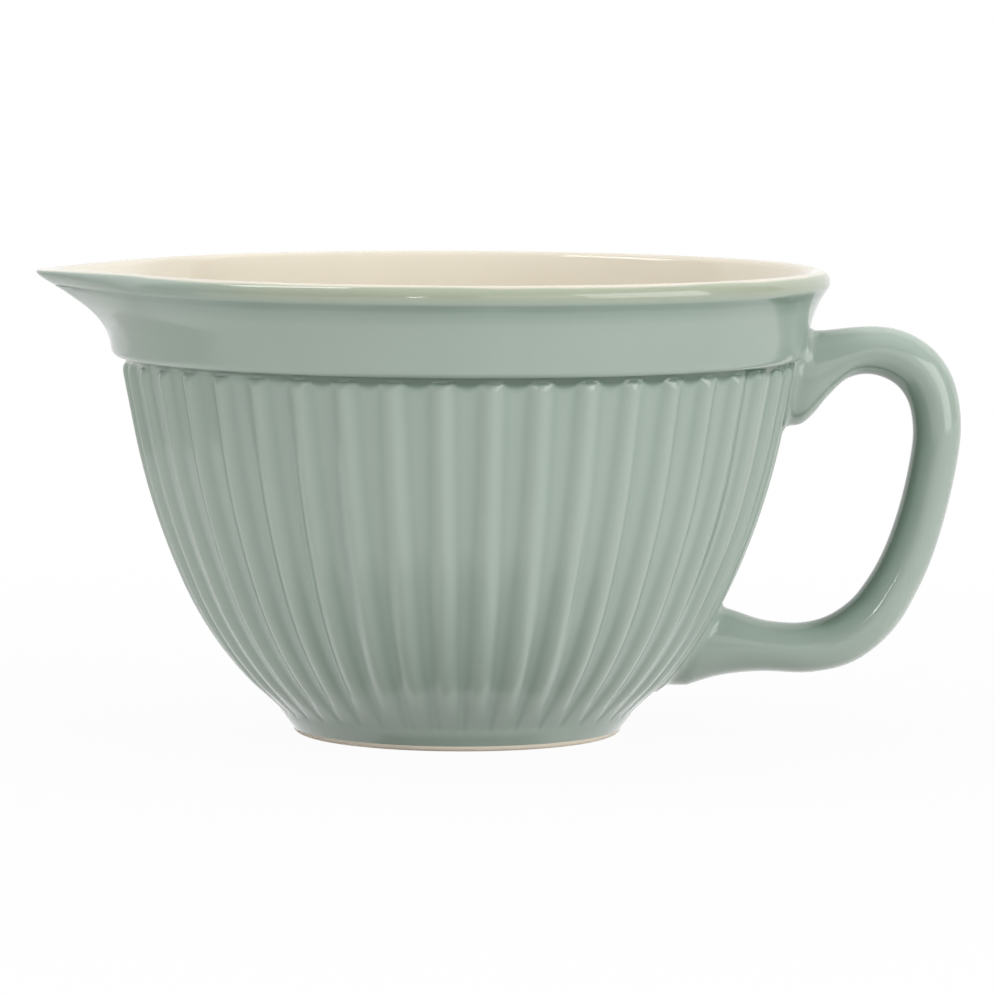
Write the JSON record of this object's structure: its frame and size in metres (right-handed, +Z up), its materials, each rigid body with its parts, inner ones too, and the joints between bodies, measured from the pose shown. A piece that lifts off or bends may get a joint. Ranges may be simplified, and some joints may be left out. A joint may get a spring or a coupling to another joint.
{
  "type": "batter bowl",
  "caption": "Round fluted stoneware bowl with a plain rim band, a small pouring spout and a looped side handle opposite it.",
  "frame": {"origin": "on the bowl's axis, in the plane it stands on", "axes": "+Z up along the bowl's axis, +X towards the handle, -X towards the spout"},
  "size_m": [0.2384, 0.1904, 0.12],
  "materials": {
    "sage_glaze": "gloss sage glaze",
    "cream_glaze": "gloss cream glaze",
    "bare_stoneware": "fired clay, unglazed",
    "slip": "fired slip under the sage glaze"
  },
  "bodies": {
    "root": {"stoneware_body": "sage_glaze", "foot_ring": "bare_stoneware", "cream_lining": "cream_glaze", "handle": "sage_glaze", "upper_slip_joint": "slip", "lower_slip_joint": "slip"}
  },
  "joints": []
}
